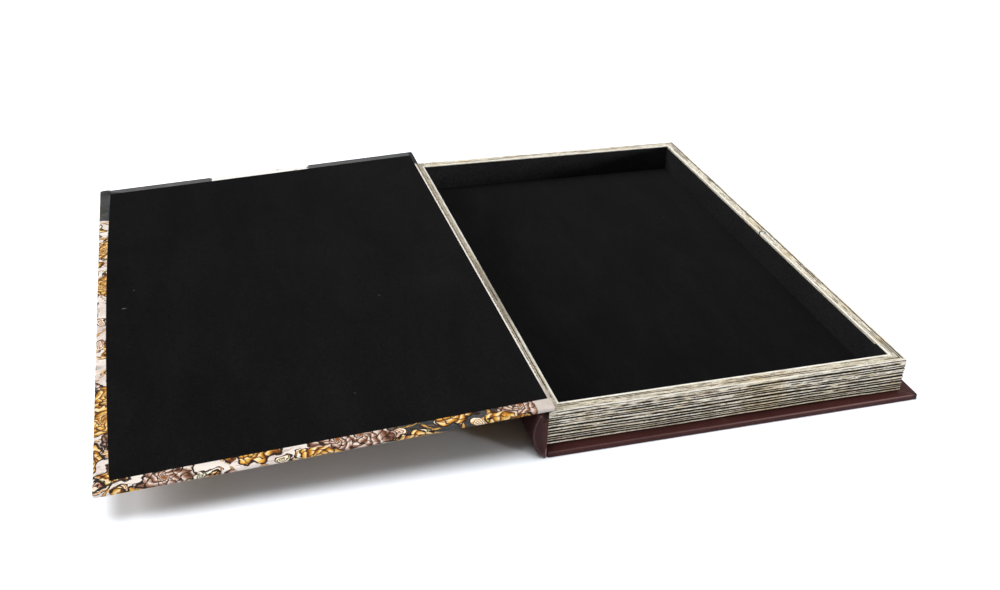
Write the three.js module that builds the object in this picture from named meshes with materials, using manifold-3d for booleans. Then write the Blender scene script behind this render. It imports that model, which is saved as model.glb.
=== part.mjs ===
// Decorative book box, lying open: a shallow velvet-lined tray dressed as a block of pages,
// a leather back cover with a rounded spine, and a canvas-covered lid on a cloth hinge.
// Millimetres, +Z up. The origin is on the table, under the middle of the page block.
// +X runs from the spine to the fore-edge and +Y from the tail of the book to its head.

import * as THREE from 'three';
import { mergeVertices } from 'three/addons/utils/BufferGeometryUtils.js';
import Module from 'manifold-3d';

const wasm = await Module();
wasm.setup();

// Page block
const pageWidth = 250;
const pageLength = 382;
const pageHeight = 24.8;
const foreWall = 9;
const endWall = 9;
const spineWall = 7.5;
const pageEdges = 13;
const pageEdgeDepth = 0.7;
const rimEdges = 4;
const rimEdgeDepth = 0.35;

// Covers
const backBoardThickness = 2.6;
const lidBoardThickness = 2.2;
const leatherThickness = 0.5;
const canvasThickness = 0.45;
const foreOverhang = 9.8;
const endOverhang = 7;
const wrapRadius = 0.9;
const cornerRadius = 1.6;
const lidShift = 2.5;

// Spine
const gutter = 3.95;
const spineToe = 0.45;
const spineLand = 2.2;
const spineBulge = 5.5;
const spineLeather = 1;
const capThickness = 1.2;
const capRecess = 0.4;
const jointStripInset = 4;
const hingeClothThickness = 0.5;

// Linings
const trayFloorThickness = 2.2;
const floorLining = 0.7;
const wallLining = 0.8;
const endLiningReveal = 0.6;
const sideLiningReveal = 1.5;
const lidLiningThickness = 0.55;
const lidLiningInset = 9.2;
const lidLiningHeadInset = 8.1;
const lidLiningHingeInset = 2.7;

// Closure
const magnetDiameter = 4;
const magnetHeight = 4;
const magnetFromForeEdge = 6.4;
const magnetSink = 0.1;
const plateDiameter = 14;
const plateThickness = 0.8;

// Clearances
const glueLine = 0.2;
const mitreGap = 0.1;
const closedGap = 0.3;
const turningGap = 0.25;
const restGap = 0.35;
const hingeGap = 0.4;

// The open lid leans on the spine and falls by this angle towards its free edge.
const openSlope = THREE.MathUtils.degToRad(2.9);

// Levels above the table
const coverThickness = backBoardThickness + 2 * (leatherThickness + glueLine);
const wallSeat = coverThickness + glueLine;
const rim = wallSeat + pageHeight;
const backBoardBase = leatherThickness + glueLine;
const trayFloorBase = backBoardBase + backBoardThickness + glueLine;
const floorLiningBase = trayFloorBase + trayFloorThickness + glueLine;
const wallLiningBase = floorLiningBase + floorLining + glueLine;

// The lid turns about a line in its outer face, set in from its hinge edge by its own thickness,
// so that it stands clear of the rim when it is upright.
const lidThickness = lidBoardThickness + 2 * (canvasThickness + glueLine);
const lidLiningBase = canvasThickness + lidBoardThickness + 2 * glueLine;
const lidLiningFace = lidLiningBase + lidLiningThickness;
const hingeMargin = lidThickness;
const pivotZ = rim + closedGap + lidLiningFace;
const cornerSweep = Math.SQRT2 * (lidThickness - wrapRadius) + wrapRadius;
const pivotDrop = pivotZ - rim;
const pivotReach = Math.max(cornerSweep + turningGap, pivotDrop);
const pivotX = -Math.sqrt(pivotReach ** 2 - pivotDrop ** 2);
const lidWidth = pageWidth + foreOverhang - pivotX + hingeMargin;
const coverLength = pageLength + 2 * endOverhang;

// The spine has a step under the hinge edge of the closed lid, lined with the hinge cloth.
const clothSide = pivotX - hingeMargin - hingeGap - hingeClothThickness;
const stepX = clothSide - glueLine;
const clothBase = pivotZ - cornerSweep - hingeGap - hingeClothThickness;
const stepZ = clothBase - glueLine;
const shoulderX = stepX - spineLand;
const spineTop = pivotZ - restGap - Math.tan(openSlope) * (pivotX - shoulderX);
const coreTop = spineTop - spineLeather;
const coreToe = new THREE.Vector2(-gutter - spineToe, spineLeather);
const coreShoulder = new THREE.Vector2(shoulderX, coreTop);

const finishes = {
  pages: { color: 0xb8ad97, roughness: 0.9, metalness: 0 },
  leather: { color: 0x4a2b28, roughness: 0.55, metalness: 0 },
  velvet: { color: 0x141416, roughness: 1, metalness: 0 },
  board: { color: 0x8f8672, roughness: 0.95, metalness: 0 },
  wood: { color: 0xa98c66, roughness: 0.85, metalness: 0 },
  canvas: { color: 0xc9bcae, roughness: 0.8, metalness: 0 },
  cloth: { color: 0x3a2422, roughness: 0.9, metalness: 0 },
  steel: { color: 0xc8cacc, roughness: 0.3, metalness: 1 },
};

function piece(name, finish, geometry) {
  const mesh = new THREE.Mesh(geometry, new THREE.MeshStandardMaterial(finishes[finish]));
  mesh.name = name;
  return mesh;
}

// A plain block given by its lowest and highest corners.
function block(low, high) {
  const size = high.map((value, axis) => value - low[axis]);
  const centre = high.map((value, axis) => (value + low[axis]) / 2);
  return new THREE.BoxGeometry(...size).translate(...centre);
}

// Closed geometry to solid, and back, for cuts.
function solid(geometry) {
  const bare = geometry.clone();
  bare.deleteAttribute('normal');
  bare.deleteAttribute('uv');
  const merged = mergeVertices(bare, 1e-4);
  const vertProperties = new Float32Array(merged.attributes.position.array);
  const triVerts = new Uint32Array(merged.index.array);
  return new wasm.Manifold(new wasm.Mesh({ numProp: 3, vertProperties, triVerts }));
}

function fromSolid(body) {
  const mesh = body.getMesh();
  const geometry = new THREE.BufferGeometry();
  geometry.setAttribute('position', new THREE.BufferAttribute(mesh.vertProperties, 3));
  geometry.setIndex(new THREE.BufferAttribute(mesh.triVerts, 1));
  const faceted = geometry.toNonIndexed();
  faceted.computeVertexNormals();
  return faceted;
}

// An outline in the X-Z plane, drawn out along Y.
function alongSpine(outline, start, length) {
  const geometry = new THREE.ExtrudeGeometry(outline, {
    depth: length, bevelEnabled: false, curveSegments: 20,
  });
  return geometry.rotateX(Math.PI / 2).translate(0, start + length, 0);
}

// Thickness of each leaf in a stack, uneven as pressed pages are, filling the whole height.
function leaves(count, height) {
  const shares = Array.from({ length: count }, (_, i) => 1 + 0.3 * Math.sin(2.4 * i + 0.8));
  const total = shares.reduce((sum, share) => sum + share, 0);
  return shares.map((share) => (share / total) * height);
}

// Cross-section of a wall: x is the depth in from the outer face, y the height above the seat.
// The outer face and the rim carry the grooves between the page edges.
function wallSection(width) {
  const points = [];
  let height = 0;
  leaves(pageEdges, pageHeight - rimEdgeDepth).forEach((leaf, i) => {
    const crest = pageEdgeDepth * (0.2 + 0.2 * Math.sin(3.7 * i + 1));
    points.push([pageEdgeDepth, height]);
    points.push([crest, height + 0.28 * leaf]);
    points.push([crest * 0.7, height + 0.6 * leaf]);
    points.push([crest + 0.1 * pageEdgeDepth, height + 0.88 * leaf]);
    height += leaf;
  });
  let depth = pageEdgeDepth;
  leaves(rimEdges, width - pageEdgeDepth).forEach((leaf, i) => {
    const groove = i === 0 ? 0 : rimEdgeDepth;
    points.push([depth, pageHeight - groove]);
    points.push([depth + 0.3 * leaf, pageHeight]);
    points.push([depth + 0.8 * leaf, pageHeight]);
    depth += leaf;
  });
  points.push([width, pageHeight - rimEdgeDepth / 2]);
  points.push([width, 0]);
  return points;
}

// One wall of the page block, its ends mitred to the walls beside it.
function pageWall(width, length, widthBefore, widthAfter) {
  const outline = new THREE.Shape(wallSection(width).map(([x, y]) => new THREE.Vector2(x, y)));
  const geometry = new THREE.ExtrudeGeometry(outline, { depth: length, bevelEnabled: false });
  const position = geometry.attributes.position;
  for (let i = 0; i < position.count; i += 1) {
    const inward = position.getX(i);
    const start = mitreGap + (inward * widthBefore) / width;
    const end = length - mitreGap - (inward * widthAfter) / width;
    const along = position.getZ(i) < length / 2 ? start : end;
    position.setXYZ(i, along, inward, position.getY(i));
  }
  geometry.computeVertexNormals();
  return geometry;
}

// A board wrapped in sheet material: a slab with rounded edges, hollow round its board,
// whose turn-ins leave a window. The slab's corner is at the origin.
function wrap(size, sheet, window) {
  const [sizeX, sizeY, thickness] = size;
  const radius = Math.min(wrapRadius, thickness / 2 - 0.05);
  const outline = new THREE.Shape();
  const corner = Math.max(cornerRadius - radius, 0.1);
  const [x0, y0, x1, y1] = [radius, radius, sizeX - radius, sizeY - radius];
  outline.moveTo(x0 + corner, y0);
  outline.lineTo(x1 - corner, y0);
  outline.absarc(x1 - corner, y0 + corner, corner, -Math.PI / 2, 0);
  outline.absarc(x1 - corner, y1 - corner, corner, 0, Math.PI / 2);
  outline.absarc(x0 + corner, y1 - corner, corner, Math.PI / 2, Math.PI);
  outline.absarc(x0 + corner, y0 + corner, corner, Math.PI, 1.5 * Math.PI);
  const slab = new THREE.ExtrudeGeometry(outline, {
    depth: thickness - 2 * radius, bevelThickness: radius, bevelSize: radius,
    bevelSegments: 3, curveSegments: 3,
  }).translate(0, 0, radius);
  const room = block([sheet, sheet, sheet],
    [sizeX - sheet, sizeY - sheet, thickness - sheet]);
  const opening = block([window[0], window[1], thickness / 2],
    [window[2], window[3], thickness + 1]);
  return solid(slab).subtract(solid(room)).subtract(solid(opening));
}

function boardInside(size, sheet) {
  const inset = sheet + glueLine;
  return block([inset, inset, inset], size.map((value) => value - inset));
}

function disc(diameter, height, x, y, base) {
  return new THREE.CylinderGeometry(diameter / 2, diameter / 2, height, 32)
    .rotateX(Math.PI / 2).translate(x, y, base + height / 2);
}

// Arc of the spine from its toe to its shoulder, bulging away from the page block,
// moved outwards by an offset.
function spineArc(offset) {
  const chord = coreShoulder.clone().sub(coreToe);
  const outward = new THREE.Vector2(-chord.y, chord.x).normalize();
  const radius = (chord.lengthSq() / 4 + spineBulge ** 2) / (2 * spineBulge);
  const middle = coreToe.clone().add(coreShoulder).multiplyScalar(0.5);
  const centre = middle.addScaledVector(outward, spineBulge - radius);
  const from = coreToe.clone().sub(centre).angle();
  const to = coreShoulder.clone().sub(centre).angle();
  const steps = 24;
  return Array.from({ length: steps + 1 }, (_, i) => {
    const angle = from + ((to - from) * i) / steps;
    const reach = radius + offset;
    return new THREE.Vector2(centre.x + reach * Math.cos(angle), centre.y + reach * Math.sin(angle));
  });
}

// D-shaped section of the spine, with the step for the lid.
function spineSection() {
  return new THREE.Shape([
    ...spineArc(0),
    new THREE.Vector2(stepX, coreTop),
    new THREE.Vector2(stepX, stepZ),
    new THREE.Vector2(-gutter, stepZ),
    new THREE.Vector2(-gutter, coreToe.y),
  ]);
}

function spineLeatherSection() {
  const outer = spineArc(spineLeather).filter((point) => point.y < spineTop);
  const inner = spineArc(glueLine / 2).filter((point) => point.y < coreTop + glueLine / 2);
  return new THREE.Shape([
    ...outer,
    new THREE.Vector2(shoulderX, spineTop),
    new THREE.Vector2(stepX, spineTop),
    new THREE.Vector2(stepX, coreTop + glueLine / 2),
    ...inner.reverse(),
  ]);
}

function backCover() {
  const size = [pageWidth + foreOverhang + gutter - glueLine, coverLength, coverThickness];
  const x = glueLine - gutter;
  const window = [spineWall - glueLine - x, endOverhang + endWall - glueLine,
    pageWidth - foreWall + glueLine - x, endOverhang + pageLength - endWall + glueLine];
  const cover = new THREE.Group();
  cover.add(piece('back_board', 'board', boardInside(size, leatherThickness)));
  cover.add(piece('back_leather', 'leather', fromSolid(wrap(size, leatherThickness, window))));
  cover.position.set(x, -endOverhang, 0);
  return cover;
}

function pageBlock() {
  const walls = new THREE.Group();
  const front = piece('front_wall', 'pages', pageWall(endWall, pageWidth, spineWall, foreWall));
  front.position.set(0, 0, wallSeat);

  const magnetPocket = disc(magnetDiameter + 2 * glueLine, magnetHeight + magnetSink + 1,
    pageLength / 2, magnetFromForeEdge, pageHeight - magnetSink - magnetHeight - glueLine);
  const foreSolid = solid(pageWall(foreWall, pageLength, endWall, endWall));
  const fore = piece('fore_edge_wall', 'pages', fromSolid(foreSolid.subtract(solid(magnetPocket))));
  fore.position.set(pageWidth, 0, wallSeat);
  fore.rotation.z = Math.PI / 2;

  const rear = piece('rear_wall', 'pages', pageWall(endWall, pageWidth, foreWall, spineWall));
  rear.position.set(pageWidth, pageLength, wallSeat);
  rear.rotation.z = Math.PI;

  const spine = piece('spine_wall', 'pages', pageWall(spineWall, pageLength, endWall, endWall));
  spine.position.set(0, pageLength, wallSeat);
  spine.rotation.z = -Math.PI / 2;

  const magnet = piece('rim_magnet', 'steel', disc(magnetDiameter, magnetHeight,
    pageWidth - magnetFromForeEdge, pageLength / 2, rim - magnetSink - magnetHeight));
  walls.add(front, fore, rear, spine, magnet);
  return walls;
}

function tray() {
  const inside = new THREE.Group();
  const [x0, x1] = [spineWall + glueLine, pageWidth - foreWall - glueLine];
  const [y0, y1] = [endWall + glueLine, pageLength - endWall - glueLine];
  inside.add(piece('tray_floor', 'wood',
    block([x0, y0, trayFloorBase], [x1, y1, trayFloorBase + trayFloorThickness])));
  inside.add(piece('floor_lining', 'velvet',
    block([x0, y0, floorLiningBase], [x1, y1, floorLiningBase + floorLining])));
  const endTop = rim - endLiningReveal;
  const sideTop = rim - sideLiningReveal;
  inside.add(piece('front_lining', 'velvet',
    block([x0, y0, wallLiningBase], [x1, y0 + wallLining, endTop])));
  inside.add(piece('rear_lining', 'velvet',
    block([x0, y1 - wallLining, wallLiningBase], [x1, y1, endTop])));
  const [s0, s1] = [y0 + wallLining + glueLine, y1 - wallLining - glueLine];
  inside.add(piece('spine_lining', 'velvet',
    block([x0, s0, wallLiningBase], [x0 + wallLining, s1, sideTop])));
  inside.add(piece('fore_edge_lining', 'velvet',
    block([x1 - wallLining, s0, wallLiningBase], [x1, s1, sideTop])));
  return inside;
}

function spine() {
  const back = new THREE.Group();
  const [tail, head] = [-endOverhang, pageLength + endOverhang];
  const capDepth = capRecess + capThickness;
  back.add(piece('tail_cap', 'leather',
    alongSpine(spineSection(), tail + capRecess, capThickness)));
  back.add(piece('head_cap', 'leather',
    alongSpine(spineSection(), head - capDepth, capThickness)));
  back.add(piece('spine_core', 'wood', alongSpine(spineSection(),
    tail + capDepth + glueLine, coverLength - 2 * (capDepth + glueLine))));
  back.add(piece('spine_leather', 'leather',
    alongSpine(spineLeatherSection(), tail, coverLength)));
  back.add(piece('joint_strip', 'board', block([glueLine - gutter, jointStripInset, wallSeat],
    [-glueLine, pageLength - jointStripInset, stepZ])));

  const cloth = new THREE.Shape([
    [clothSide, clothBase],
    [-glueLine, clothBase],
    [-glueLine, clothBase + hingeClothThickness],
    [clothSide + hingeClothThickness, clothBase + hingeClothThickness],
    [clothSide + hingeClothThickness, spineTop],
    [clothSide, spineTop],
  ].map(([x, z]) => new THREE.Vector2(x, z)));
  back.add(piece('hinge_cloth', 'cloth', alongSpine(cloth, 0, pageLength)));
  return back;
}

// The lid lies open: its outer face is below, and X falls away from the hinge line.
function lid() {
  const size = [lidWidth, coverLength, lidThickness];
  const free = hingeMargin - lidWidth;
  const window = [lidLiningInset, lidLiningInset,
    lidWidth - lidLiningHingeInset, coverLength - lidLiningHeadInset];
  const plateX = pivotX - (pageWidth - magnetFromForeEdge) - free;
  const plateY = pageLength / 2 + endOverhang - lidShift;
  const plateBase = canvasThickness + glueLine + lidBoardThickness - plateThickness;
  const pocket = disc(plateDiameter + 2 * glueLine, plateThickness + 1, plateX, plateY,
    plateBase - glueLine);
  const board = solid(boardInside(size, canvasThickness)).subtract(solid(pocket));

  const leaf = new THREE.Group();
  leaf.add(piece('lid_board', 'board', fromSolid(board)));
  leaf.add(piece('lid_canvas', 'canvas', fromSolid(wrap(size, canvasThickness, window))));
  leaf.add(piece('lid_lining', 'velvet', block(
    [window[0] + glueLine, window[1] + glueLine, lidLiningBase],
    [window[2] - glueLine, window[3] - glueLine, lidLiningFace])));
  leaf.add(piece('lid_plate', 'steel',
    disc(plateDiameter, plateThickness, plateX, plateY, plateBase)));
  leaf.position.set(free, lidShift - endOverhang, 0);

  const swing = new THREE.Group();
  swing.add(leaf);
  swing.position.set(pivotX, 0, pivotZ);
  swing.rotation.y = -openSlope;
  return swing;
}

const bookBox = new THREE.Group();
bookBox.add(backCover(), pageBlock(), tray(), spine(), lid());
bookBox.position.set(-pageWidth / 2, -pageLength / 2, 0);

export default bookBox;
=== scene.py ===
import math
import bpy
from mathutils import Matrix, Vector, noise


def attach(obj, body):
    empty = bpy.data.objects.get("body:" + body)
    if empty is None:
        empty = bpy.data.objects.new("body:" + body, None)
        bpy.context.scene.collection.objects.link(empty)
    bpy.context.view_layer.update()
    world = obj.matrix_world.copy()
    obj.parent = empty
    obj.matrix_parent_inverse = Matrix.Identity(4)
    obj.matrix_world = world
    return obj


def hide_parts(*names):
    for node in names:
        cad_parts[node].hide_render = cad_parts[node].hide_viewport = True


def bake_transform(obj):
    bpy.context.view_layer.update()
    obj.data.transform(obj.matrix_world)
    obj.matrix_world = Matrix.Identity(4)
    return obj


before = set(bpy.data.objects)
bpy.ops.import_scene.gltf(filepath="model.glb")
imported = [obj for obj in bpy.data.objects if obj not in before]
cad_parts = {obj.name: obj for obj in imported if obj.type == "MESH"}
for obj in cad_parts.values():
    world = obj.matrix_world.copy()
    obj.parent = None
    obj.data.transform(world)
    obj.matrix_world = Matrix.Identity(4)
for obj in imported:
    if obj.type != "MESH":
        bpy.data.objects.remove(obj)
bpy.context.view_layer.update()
MM = 0.001

# Sizes in millimetres in the frame's own axes. BLOCK and COVER give x and y from low to high.

# Page block.
BLOCK = (-126.6, 125.0, -191.0, 191.0)
WALL_BASE, RIM = 4.2, 29.0
END_WALL, SPINE_WALL = 9.0, 9.1
MITRE_GAP = 0.05
MAGNET_X = 118.6

# Cover and spine.
COVER = (-128.75, 134.8, -198.0, 198.0)
COVER_THICKNESS, COVER_TURN_IN = 4.0, 11
SPINE_TOE = Vector((-129.4, 0.0, 1.0))
SPINE_SHOULDER = Vector((-134.644, 0.0, 31.21))
SPINE_BULGE = 5.5
SPINE_STEP, SPINE_TOP = -132.444, 32.21
GUTTER_SIDE, STEP_BASE = -128.95, 27.22
CAP_THICKNESS = 1.2

# Lid. The corner folds start steep and go on flatter from the knee.
PIVOT = Vector((-127.844, 0.0, 32.9))
OPEN_SLOPE = math.radians(2.9)
LID_SIZE = Vector((266.14, 396.0, 3.5))
LID_MARGIN, LID_TAIL = 3.5, -195.5
TURN_IN, HEAD_TURN_IN = 9.2, 8.1
MITRE_STEEP, MITRE_SHALLOW, MITRE_KNEE = 0.95, 0.37, 2.4
CROSS_CUTS = 24

# Threads in a decimetre of canvas and in a metre of hinge cloth.
CANVAS_THREADS, CLOTH_THREADS = 190, 1800


def arc_middle():
    """Centre and radius of the spine's rounded back."""
    chord = SPINE_SHOULDER - SPINE_TOE
    outward = Vector((-chord.z, 0, chord.x)).normalized()
    radius = (chord.length_squared / 4 + SPINE_BULGE ** 2) / (2 * SPINE_BULGE)
    return (SPINE_TOE + SPINE_SHOULDER) / 2 + outward * (SPINE_BULGE - radius), radius


def free_margin(y):
    """Width of the canvas turned in along the lid's free edge, narrowest near mid-length."""
    return 6.2 + 2.9 * ((y - 210) / 200) ** 2


def hinge_margin(y):
    """Width of the canvas turned in along the hinge edge, wider toward the head."""
    return 1.8 + 1.7 * y / 396


def mitre_line(x):
    """Distance of the corner folds from the lid's end, this far in from its free edge."""
    return min(MITRE_STEEP * x, MITRE_SHALLOW * x + MITRE_KNEE)


# Modelling.


def to_object_mode():
    if bpy.context.object and bpy.context.object.mode != "OBJECT":
        bpy.ops.object.mode_set(mode="OBJECT")


def clear_selection():
    to_object_mode()
    bpy.ops.object.select_all(action="DESELECT")


def take(obj):
    """Makes one piece the only selected and active one."""
    clear_selection()
    obj.select_set(True)
    bpy.context.view_layer.objects.active = obj


def newest(name):
    """Names the piece just added and puts its place, turn and scale into its mesh."""
    obj = bpy.context.active_object
    obj.name = name
    take(obj)
    bpy.ops.object.transform_apply(location=True, rotation=True, scale=True)
    return obj


def slab(name, low, high):
    """A block between two corners."""
    clear_selection()
    low, high = Vector(low), Vector(high)
    bpy.ops.mesh.primitive_cube_add(
        size=1, location=(low + high) / 2 * MM, scale=(high - low) * MM)
    return newest(name)


def choose(obj, kind, test=lambda *place: True):
    """Selects vertices by place, edges by their two ends, or faces by middle and normal."""
    take(obj)
    bpy.ops.object.mode_set(mode="EDIT")
    bpy.ops.mesh.select_mode(type=kind)
    bpy.ops.mesh.select_all(action="DESELECT")
    bpy.ops.object.mode_set(mode="OBJECT")
    mesh = obj.data
    if kind == "VERT":
        for v in mesh.vertices:
            v.select = test(v.co / MM)
    elif kind == "EDGE":
        for e in mesh.edges:
            a, b = (mesh.vertices[i].co / MM for i in e.vertices)
            e.select = test(a, b)
    else:
        for f in mesh.polygons:
            f.select = test(f.center / MM, f.normal)
    bpy.ops.object.mode_set(mode="EDIT")


def discard(obj, test):
    """Deletes vertices by place."""
    choose(obj, "VERT", test)
    bpy.ops.mesh.delete(type="VERT")
    to_object_mode()


def long_edge(name, x, z, half):
    """A single edge along the box, ready to be drawn out into a sheet."""
    clear_selection()
    bpy.ops.mesh.primitive_plane_add(size=1)
    edge = newest(name)
    discard(edge, lambda co: co.x > 0)
    for v, y in zip(edge.data.vertices, (-half, half)):
        v.co = Vector((x, y, z)) * MM
    choose(edge, "VERT")
    return edge


def draw_out(step):
    """Extrudes what is selected, the step given in millimetres."""
    bpy.ops.mesh.extrude_region_move(TRANSFORM_OT_translate={"value": step * MM})


# Tests for the edges of a slab.


def upright(a, b):
    return abs((b - a).normalized().z) > 0.99


def level(a, b):
    return abs((b - a).normalized().z) < 0.01


def round_edges(obj, test, radius, segments):
    choose(obj, "EDGE", test)
    bpy.ops.mesh.bevel(offset=radius * MM, segments=segments, affect="EDGES")
    to_object_mode()


def finish_modifier(obj, kind, **settings):
    take(obj)
    modifier = obj.modifiers.new(kind.title(), kind)
    for key, value in settings.items():
        setattr(modifier, key, value)
    bpy.ops.object.modifier_apply(modifier=modifier.name)


def smooth(obj, degrees=35):
    """Shades the piece smooth, but for edges sharper than this."""
    take(obj)
    bpy.ops.object.shade_smooth_by_angle(angle=math.radians(degrees))


def face_outwards(obj):
    choose(obj, "FACE")
    bpy.ops.mesh.normals_make_consistent(inside=False)
    to_object_mode()


def hand_over(obj, body, finish, nodes=()):
    """Names the piece's finish, the body it moves with and the solids it stands for."""
    obj.data.materials.clear()
    obj.data.materials.append(finish)
    if body:
        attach(obj, body)
    if nodes:
        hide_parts(*nodes)
    return obj


def lay_open(obj):
    """Turns a piece made in the lid's own axes into the open lid's place."""
    turn = Matrix.Rotation(-OPEN_SLOPE, 4, "Y")
    place = Matrix.Translation(PIVOT * MM)
    inset = Matrix.Translation(Vector((LID_MARGIN - LID_SIZE.x, LID_TAIL, 0)) * MM)
    obj.data.transform(place @ turn @ inset)
    return obj


# Finishes.


class Graph:
    """Adds texture and arithmetic nodes to one node tree."""

    def __init__(self, tree):
        self.tree = tree

    def node(self, kind, sockets=None, **settings):
        made = self.tree.nodes.new(kind)
        for key, value in settings.items():
            setattr(made, key, value)
        for key, value in (sockets or {}).items():
            self.feed(made.inputs[key], value)
        return made

    def feed(self, socket, value):
        """Links a socket to another one, or sets its constant."""
        if isinstance(value, bpy.types.NodeSocket):
            self.tree.links.new(value, socket)
        elif value is not None:
            socket.default_value = value

    def math(self, operation, a, b=None):
        return self.node("ShaderNodeMath", {0: a, 1: b}, operation=operation).outputs[0]

    def times(self, first, *others):
        for other in others:
            first = self.math("MULTIPLY", first, other)
        return first

    def plus(self, first, *others):
        for other in others:
            first = self.math("ADD", first, other)
        return first

    def minus(self, a, b):
        return self.math("SUBTRACT", a, b)

    def larger(self, a, b):
        return self.math("MAXIMUM", a, b)

    def smaller(self, a, b):
        return self.math("MINIMUM", a, b)

    def absolute(self, a):
        return self.math("ABSOLUTE", a)

    def waves(self, value, count, shift=0.0):
        """A sine wave that repeats this many times as the value rises by one."""
        return self.math("SINE", self.plus(self.times(value, 2 * math.pi * count), shift))

    def vector(self, operation, a, b=None):
        made = self.node("ShaderNodeVectorMath", {0: a, 1: b}, operation=operation)
        return made.outputs["Value" if operation == "LENGTH" else "Vector"]

    def parts(self, value):
        return self.node("ShaderNodeSeparateXYZ", {0: value}).outputs[:3]

    def joined(self, x, y, z=0.0):
        return self.node("ShaderNodeCombineXYZ", {0: x, 1: y, 2: z}).outputs[0]

    def uv(self, name):
        return self.node("ShaderNodeUVMap", uv_map=name).outputs[0]

    def attribute(self, name):
        return self.node("ShaderNodeAttribute", attribute_name=name).outputs["Fac"]

    def stretched(self, value, scale, turn=0.0):
        sockets = {"Vector": value, "Scale": scale, "Rotation": (0, 0, turn)}
        return self.node("ShaderNodeMapping", sockets).outputs[0]

    def noise(self, place, scale, detail=3.0, roughness=0.5, distortion=0.0):
        sockets = {"Vector": place, "Scale": scale, "Detail": detail,
                   "Roughness": roughness, "Distortion": distortion}
        return self.node("ShaderNodeTexNoise", sockets).outputs[0]

    def cells(self, place, scale, feature="F1", randomness=1.0, dimensions="3D"):
        sockets = {"Vector": place, "Scale": scale, "Randomness": randomness}
        return self.node("ShaderNodeTexVoronoi", sockets, feature=feature,
                         voronoi_dimensions=dimensions).outputs

    def spokes(self, place):
        """Rises from 0 to 1 once round the origin."""
        return self.node("ShaderNodeTexGradient", {0: place}, gradient_type="RADIAL").outputs["Fac"]

    def step(self, value, low, high, floor=0.0, ceiling=1.0):
        """Rises smoothly from the floor at low to the ceiling at high."""
        sockets = {"Value": value, "From Min": low, "From Max": high,
                   "To Min": floor, "To Max": ceiling}
        return self.node("ShaderNodeMapRange", sockets, interpolation_type="SMOOTHSTEP").outputs[0]

    def near(self, value, middle, outer, inner):
        """1 within the inner distance of the middle, 0 beyond the outer one."""
        return self.step(self.absolute(self.minus(value, middle)), outer, inner)

    def ramp(self, value, *stops):
        """Colours along a value, each stop given as its place and a linear colour."""
        made = self.node("ShaderNodeValToRGB", {0: value})
        elements = made.color_ramp.elements
        while len(elements) < len(stops):
            elements.new(0.5)
        for element, (position, colour) in zip(elements, stops):
            element.position = position
            element.color = (*colour, 1)
        return made.outputs[0]

    def shades(self, value, *stops):
        """The same with screen colours: place, red, green, blue."""
        return self.ramp(value, *((place, tone(*shade)) for place, *shade in stops))

    def mix(self, share, a, b, blend="MIX"):
        a, b = ((*v, 1) if isinstance(v, tuple) else v for v in (a, b))
        mixer = self.node("ShaderNodeMix", {0: share, 6: a, 7: b},
                          data_type="RGBA", blend_type=blend)
        return mixer.outputs[2]

    def tint(self, colour, *layers):
        """Lays screen colours over a colour, each given as mask, shade and strength."""
        for mask, shade, *strength in layers:
            share = self.times(mask, strength[0]) if strength else mask
            colour = self.mix(share, colour, tone(*shade))
        return colour

    def seen_directly(self):
        """1 where the eye looks at a thing itself, in a mirror or through glass."""
        path = self.node("ShaderNodeLightPath").outputs
        mirrored = self.larger(path["Is Glossy Ray"], path["Is Transmission Ray"])
        return self.larger(path["Is Camera Ray"], mirrored)


class Finish(Graph):
    """Builds one material."""

    def __init__(self, name, **shader):
        self.material = bpy.data.materials.new(name)
        self.material.use_nodes = True
        super().__init__(self.material.node_tree)
        self.tree.nodes.clear()
        self.output = self.node("ShaderNodeOutputMaterial")
        self.shader = self.node("ShaderNodeBsdfPrincipled")
        self.feed(self.output.inputs[0], self.shader.outputs[0])
        for key, value in shader.items():
            socket = key.replace("_", " ").title().replace("Ior", "IOR")
            self.shader.inputs[socket].default_value = value
        self.coordinates = self.node("ShaderNodeTexCoord").outputs["Object"]

    def bump(self, height, distance, strength=1.0, under=None):
        """A relief with its depth in millimetres."""
        sockets = {"Height": height, "Distance": distance * MM,
                   "Strength": strength, "Normal": under}
        return self.node("ShaderNodeBump", sockets).outputs[0]

    def wear(self, colour, roughness, normal=None):
        for name, value in (("Base Color", colour), ("Roughness", roughness), ("Normal", normal)):
            self.feed(self.shader.inputs[name], value)
        return self.material


def tone(red, green, blue):
    """A colour from its 0 to 255 screen values."""
    def linear(v):
        v /= 255
        return v / 12.92 if v <= 0.04045 else ((v + 0.055) / 1.055) ** 2.4
    return (linear(red), linear(green), linear(blue))


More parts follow.
